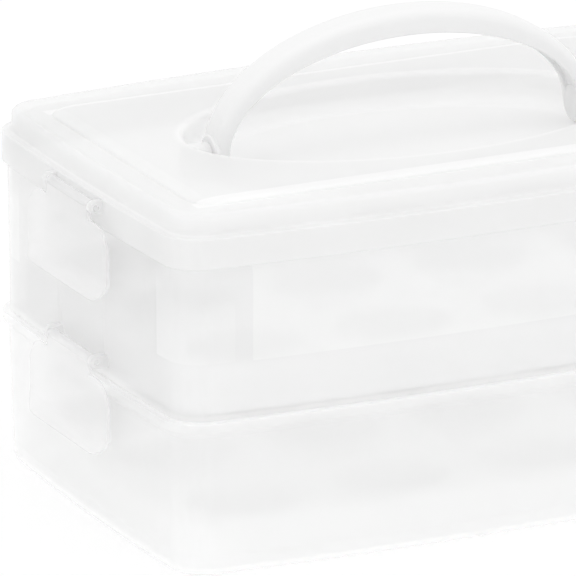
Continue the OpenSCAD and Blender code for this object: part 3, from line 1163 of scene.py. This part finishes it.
@dataclass
class Latch:
    """A hinged latch: a plate that flares out at its lip, a barrel with pins, and a hook.

    Attributes:
        end: the end of the carrier that it hangs on.
        stage: what it holds.
        reach: distance of its hinge from the middle of the carrier, in millimetres.
        width: its width.
        length: distance from its hinge down to its lip.
        thickness: its thickness.
        corner: radius of its corners.
        neck: distance from the hinge down to its shoulders.
        barrel: radius of the barrel.
        barrel_length: length of the barrel.
        pin: radius of a pin.
        pin_length: length of a pin past the barrel.
        flare: radius of the lip's flare.
        flare_angle: angle of the flare, in degrees.
        edge: bevel of the plate's edges.
        shoulder: width of the step from the barrel to a shoulder.
        rows: steps down the plate.
        hook_width: width of the hook.
        hook_tip: distance of the hook's tip out from the hinge.
        hook_low: level of the hook's underside from the hinge.
        hook_height: height of the hook at its tip.
        hook_slope: run and rise of the slope on the tip.
    """

    end: End
    stage: Stage
    reach: float = HINGE_REACH
    width: float = 94.0
    length: float = 46.0
    thickness: float = 2.0
    corner: float = 13.0
    neck: float = 7.0
    barrel: float = 2.8
    barrel_length: float = 50.0
    pin: float = 1.6
    pin_length: float = 3.6
    flare: float = 16.0
    flare_angle: float = 50.0
    edge: float = 0.5
    shoulder: float = 0.4
    rows: int = 24
    hook_width: float = 40.0
    hook_tip: float = -4.6
    hook_low: float = -19.633
    hook_height: float = 2.4
    hook_slope: tuple[float, float] = (1.4, 1.633)

    @property
    def node(self) -> str:
        """The node that it stands for."""
        return f"{self.stage.name.lower()}_latch_{self.end.name.lower()}"

    def spot(self, out: float, y: float, up: float) -> Vector:
        """A point out from the hinge, along it and up from it, in metres."""
        way = self.end.value
        return Vector(((self.reach + out) * way, y * way, self.stage.value + up)) * MM

    def bent(self, down: float, out: float) -> tuple[float, float]:
        """Where a point of the flat plate comes to lie when its lip is flared.

        Args:
            down: distance down the plate.
            out: distance out from its inner face.

        Returns:
            The distances out from the hinge and up from it.
        """
        inner = self.barrel - self.thickness
        start = self.length - self.flare * math.sin(math.radians(self.flare_angle))
        if down <= start:
            return inner + out, -down
        angle = (down - start) / self.flare
        radius = self.flare - out
        return inner + self.flare - radius * math.cos(angle), -start - radius * math.sin(angle)

    def plate_ring(self, y: float, top: float) -> Ring:
        """Section of the plate at a place across it, from its top down to its lip and back.

        Args:
            y: the place across the plate.
            top: distance of its top below the hinge there.

        Returns:
            The ring.
        """
        turn, edge, thick = math.radians(self.flare_angle), self.edge, self.thickness
        flat_length = self.length - self.flare * math.sin(turn) + self.flare * turn
        past = max(abs(y) - (self.width / 2 - self.corner), 0.0)
        cut = self.corner - math.sqrt(max(self.corner ** 2 - past ** 2, 0.0))
        first, *middle, last = spread(top + cut, flat_length - cut, self.rows)
        points = [(first, edge), *[(level, 0.0) for level in middle], (last, edge), (last, thick - edge),
                  *[(level, thick) for level in reversed(middle)], (first, thick - edge)]
        bent = [self.bent(down, out) for down, out in points]
        return [self.spot(out, y, up) for out, up in bent]

    def build(self) -> Workpiece:
        """Models the latch.

        Returns:
            The latch.
        """
        half, flat = self.barrel_length / 2, self.width / 2 - self.corner
        turn = [flat + self.corner * s for _, s in arc(0, 88, 9)]
        right = [(half, 0.0), (half + self.shoulder, self.neck), *[(y, self.neck) for y in turn]]
        left = [(-y, top) for y, top in reversed(right)]
        rings = [self.plate_ring(y, top) for y, top in [*left, (0.0, 0.0), *right]]
        work = Workpiece(f"{self.node}_clasp", rings[0]).extrude(rings[1:]).close()
        tip = half + self.pin_length
        for radius, far, bevel, sides in ((self.barrel, half, 0.4, 48), (self.pin, tip, 0.3, 32)):
            ends = [self.spot(0.0, y, 0.0) / MM for y in (-far, far)]
            work.combine(rod(radius, *ends, bevel=bevel, sides=sides), "UNION")
        return work.combine(self.hook(), "UNION")

    def hook(self) -> Workpiece:
        """The hook behind the plate, which reaches under its catch."""
        tip, low, root = self.hook_tip, self.hook_low, self.barrel - self.thickness / 2
        (run, rise), top = self.hook_slope, low + self.hook_height
        shape = [(tip, low), (root, low), (root, top + rise), (tip + run, top + rise), (tip, top)]
        half = self.hook_width / 2
        rings = [[self.spot(out, y, up) for out, up in shape] for y in (-half, half)]
        return Workpiece("hook", rings[0]).extrude(rings[1:]).close().soften(0.3)


@dataclass
class Carrier:
    """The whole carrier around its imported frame.

    Attributes:
    """

    frame: dict

    def __post_init__(self) -> None:
        """Makes the materials."""
        self.made = {finish: finish.value.build() for finish in Finish}

    def hand(self, work: Workpiece, body: str, finish: Finish, *nodes: str) -> None:
        """Hands a finished workpiece to the frame.

        Args:
            work: the workpiece.
            body: the body that it moves with.
            finish: its finish.
            nodes: the nodes that it stands for.
        """
        work.hand_over(body, nodes, finish.value.slot, self.made[finish])

    def dress_trays(self) -> None:
        """Gives the two egg trays their plastic."""
        for name in ("lower_egg_tray", "upper_egg_tray"):
            tray = self.frame["nodes"][name]
            tray.data.materials.clear()
            tray.data.materials.append(self.made[Finish.TRAY])
            LOG.info("%s: dressed", name)

    def build(self) -> None:
        """Models and dresses every piece."""
        lower = StackingBox("lower_box", base=0.0, height=82.0, foot=1.7, round_in=2.8, round_up=9.0,
                            panel_top=70.5, flange=3.0).build()
        self.hand(lower, "carrier", Finish.LOWER, "lower_box")
        upper = StackingBox("upper_box", base=82.08, height=94.8, foot=0.4, round_in=0.4, round_up=0.4,
                            panel_top=77.82, flange=0.0).build()
        self.hand(Hinge(Stage.LAYER, back=177.3).add_to(upper), "carrier", Finish.UPPER, "upper_box")
        self.hand(Lid().build(), "carrier", Finish.COVER, "lid", "handle_recess")
        self.hand(CarryHandle().build(), "handle", Finish.HANDLE, "carry_handle")
        for stage in Stage:
            for end in End:
                latch = Latch(end, stage)
                self.hand(latch.build(), f"{latch.node}_body", Finish.LATCH, latch.node)
        self.dress_trays()


@dataclass
class PhotoCamera:
    """The camera that took the photograph, as fitted to its edges.

    Attributes:
        azimuth: direction, in degrees; 0 looks along +Y.
        elevation: height above the horizon, in degrees.
        distance: distance from the aim, in metres.
        aim: the point that the view starts from.
        across: shift of the camera to its right, in metres.
        above: shift of the camera upwards, in metres.
        lens: focal length for a 36 mm sensor, in millimetres.
    """

    azimuth: float = -25.9603
    elevation: float = 17.9261
    distance: float = 4.61921
    aim: Vector = field(default_factory=lambda: Vector((0.0, 0.0, 0.088)))
    across: float = -0.056584
    above: float = 0.00891
    lens: float = 559.834

    def build(self) -> bpy.types.Object:
        """Adds the camera and makes it the scene's own.

        Returns:
            The camera.
        """
        yaw, pitch = math.radians(self.azimuth), math.radians(self.elevation)
        back = Vector((math.sin(yaw) * math.cos(pitch), -math.cos(yaw) * math.cos(pitch), math.sin(pitch)))
        right = (-back).cross(UP).normalized()
        up = right.cross(-back)
        bpy.ops.object.camera_add()
        camera = bpy.context.object
        camera.name = "photo_camera"
        camera.data.lens = self.lens
        camera.data.sensor_width = 36.0
        camera.data.clip_start, camera.data.clip_end = 0.5, 60.0
        place = self.aim + back * self.distance + right * self.across + up * self.above
        turn = Matrix((right, up, back)).transposed().to_4x4()
        camera.matrix_world = Matrix.Translation(place) @ turn
        bpy.context.scene.camera = camera
        return camera


@dataclass
class Studio:
    """A white table in a white room, softly lit all round and a little more from the front.

    Attributes:
        floor_size: side of the floor, in metres.
        floor_tone: the floor's brightness, linear.
        room_light: mean strength of the white room around the object.
        lean: how much brighter the room is towards +X, +Y and +Z.
        key_power: power of the soft box, in watts.
        key_place: place of the soft box, in metres.
        key_size: length and width of the soft box, in metres.
        key_aim: the point that it faces, in metres.
        shadow_share: how much of the shadow the camera sees on the floor.
    """

    floor_size: float = 24.0
    floor_tone: float = 0.995
    room_light: float = 1.04
    lean: tuple[float, float, float] = (-0.01, 0.0, 0.0)
    key_power: float = 4.5
    key_place: Vector = field(default_factory=lambda: Vector((0.1, -0.5, 1.9)))
    key_size: tuple[float, float] = (2.4, 0.8)
    key_aim: Vector = field(default_factory=lambda: Vector((0.0, 0.0, 0.1)))
    shadow_share: float = 0.2

    def world(self) -> None:
        """Makes the white room: plain light on the object, pure white to the eye."""
        bpy.context.scene.world = bpy.data.worlds.new("white_room")
        g = Graph(bpy.context.scene.world)
        way = g.node("ShaderNodeTexCoord", output="Generated")
        slope = g.node("ShaderNodeVectorMath", {"operation": "DOT_PRODUCT"}, {0: way, 1: self.lean},
                       output="Value")
        level = (slope + 1.0) * self.room_light
        white = g.seen("Is Camera Ray", "Is Transmission Ray")
        strength = g.node("ShaderNodeMix", {}, {"Factor": white, "A": level, "B": 1.0})
        g.finish(g.node("ShaderNodeBackground", {}, {"Color": WHITE, "Strength": strength}))

    def floor(self) -> bpy.types.Object:
        """Lays the pale floor, which keeps the carrier's soft shadow.

        Returns:
            The floor.
        """
        g = Graph(bpy.data.materials.new("pale_floor"))
        matt = g.node("ShaderNodeBsdfDiffuse", {}, {"Color": (*(self.floor_tone,) * 3, 1.0)})
        white = g.node("ShaderNodeEmission", {}, {"Color": WHITE, "Strength": 1.0})
        seen = g.seen("Is Camera Ray", "Is Glossy Ray", "Is Transmission Ray")
        surface = g.node("ShaderNodeMixShader", {}, {0: seen * (1.0 - self.shadow_share), 1: matt, 2: white})
        bpy.ops.mesh.primitive_plane_add(size=self.floor_size)
        floor = bpy.context.object
        floor.name = "floor"
        floor.data.materials.append(g.finish(surface))
        return floor

    def lamp(self) -> bpy.types.Object:
        """Hangs a long soft box over the carrier, a little to its front.

        Returns:
            The lamp.
        """
        bpy.ops.object.light_add(type="AREA", location=self.key_place)
        lamp = bpy.context.object
        lamp.name = "soft_box"
        lamp.data.shape = "RECTANGLE"
        lamp.data.size, lamp.data.size_y = self.key_size
        lamp.data.energy = self.key_power
        lamp.rotation_euler = (self.key_aim - lamp.location).to_track_quat("-Z", "Y").to_euler()
        return lamp

    def build(self) -> None:
        """Sets up the whole studio."""
        self.world()
        self.floor()
        self.lamp()
        bpy.context.scene.view_settings.view_transform = "Standard"


def main() -> None:
    """Builds the carrier, the studio and the camera."""
    logging.basicConfig(level=logging.INFO)
    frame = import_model()
    Carrier(frame).build()
    Studio().build()
    PhotoCamera().build()
    cycles = bpy.context.scene.cycles
    cycles.max_bounces = MOST_BOUNCES
    cycles.diffuse_bounces = DIFFUSE_BOUNCES
    cycles.transparent_max_bounces = CLEAR_LAYERS


if __name__ == "__main__":
    main()
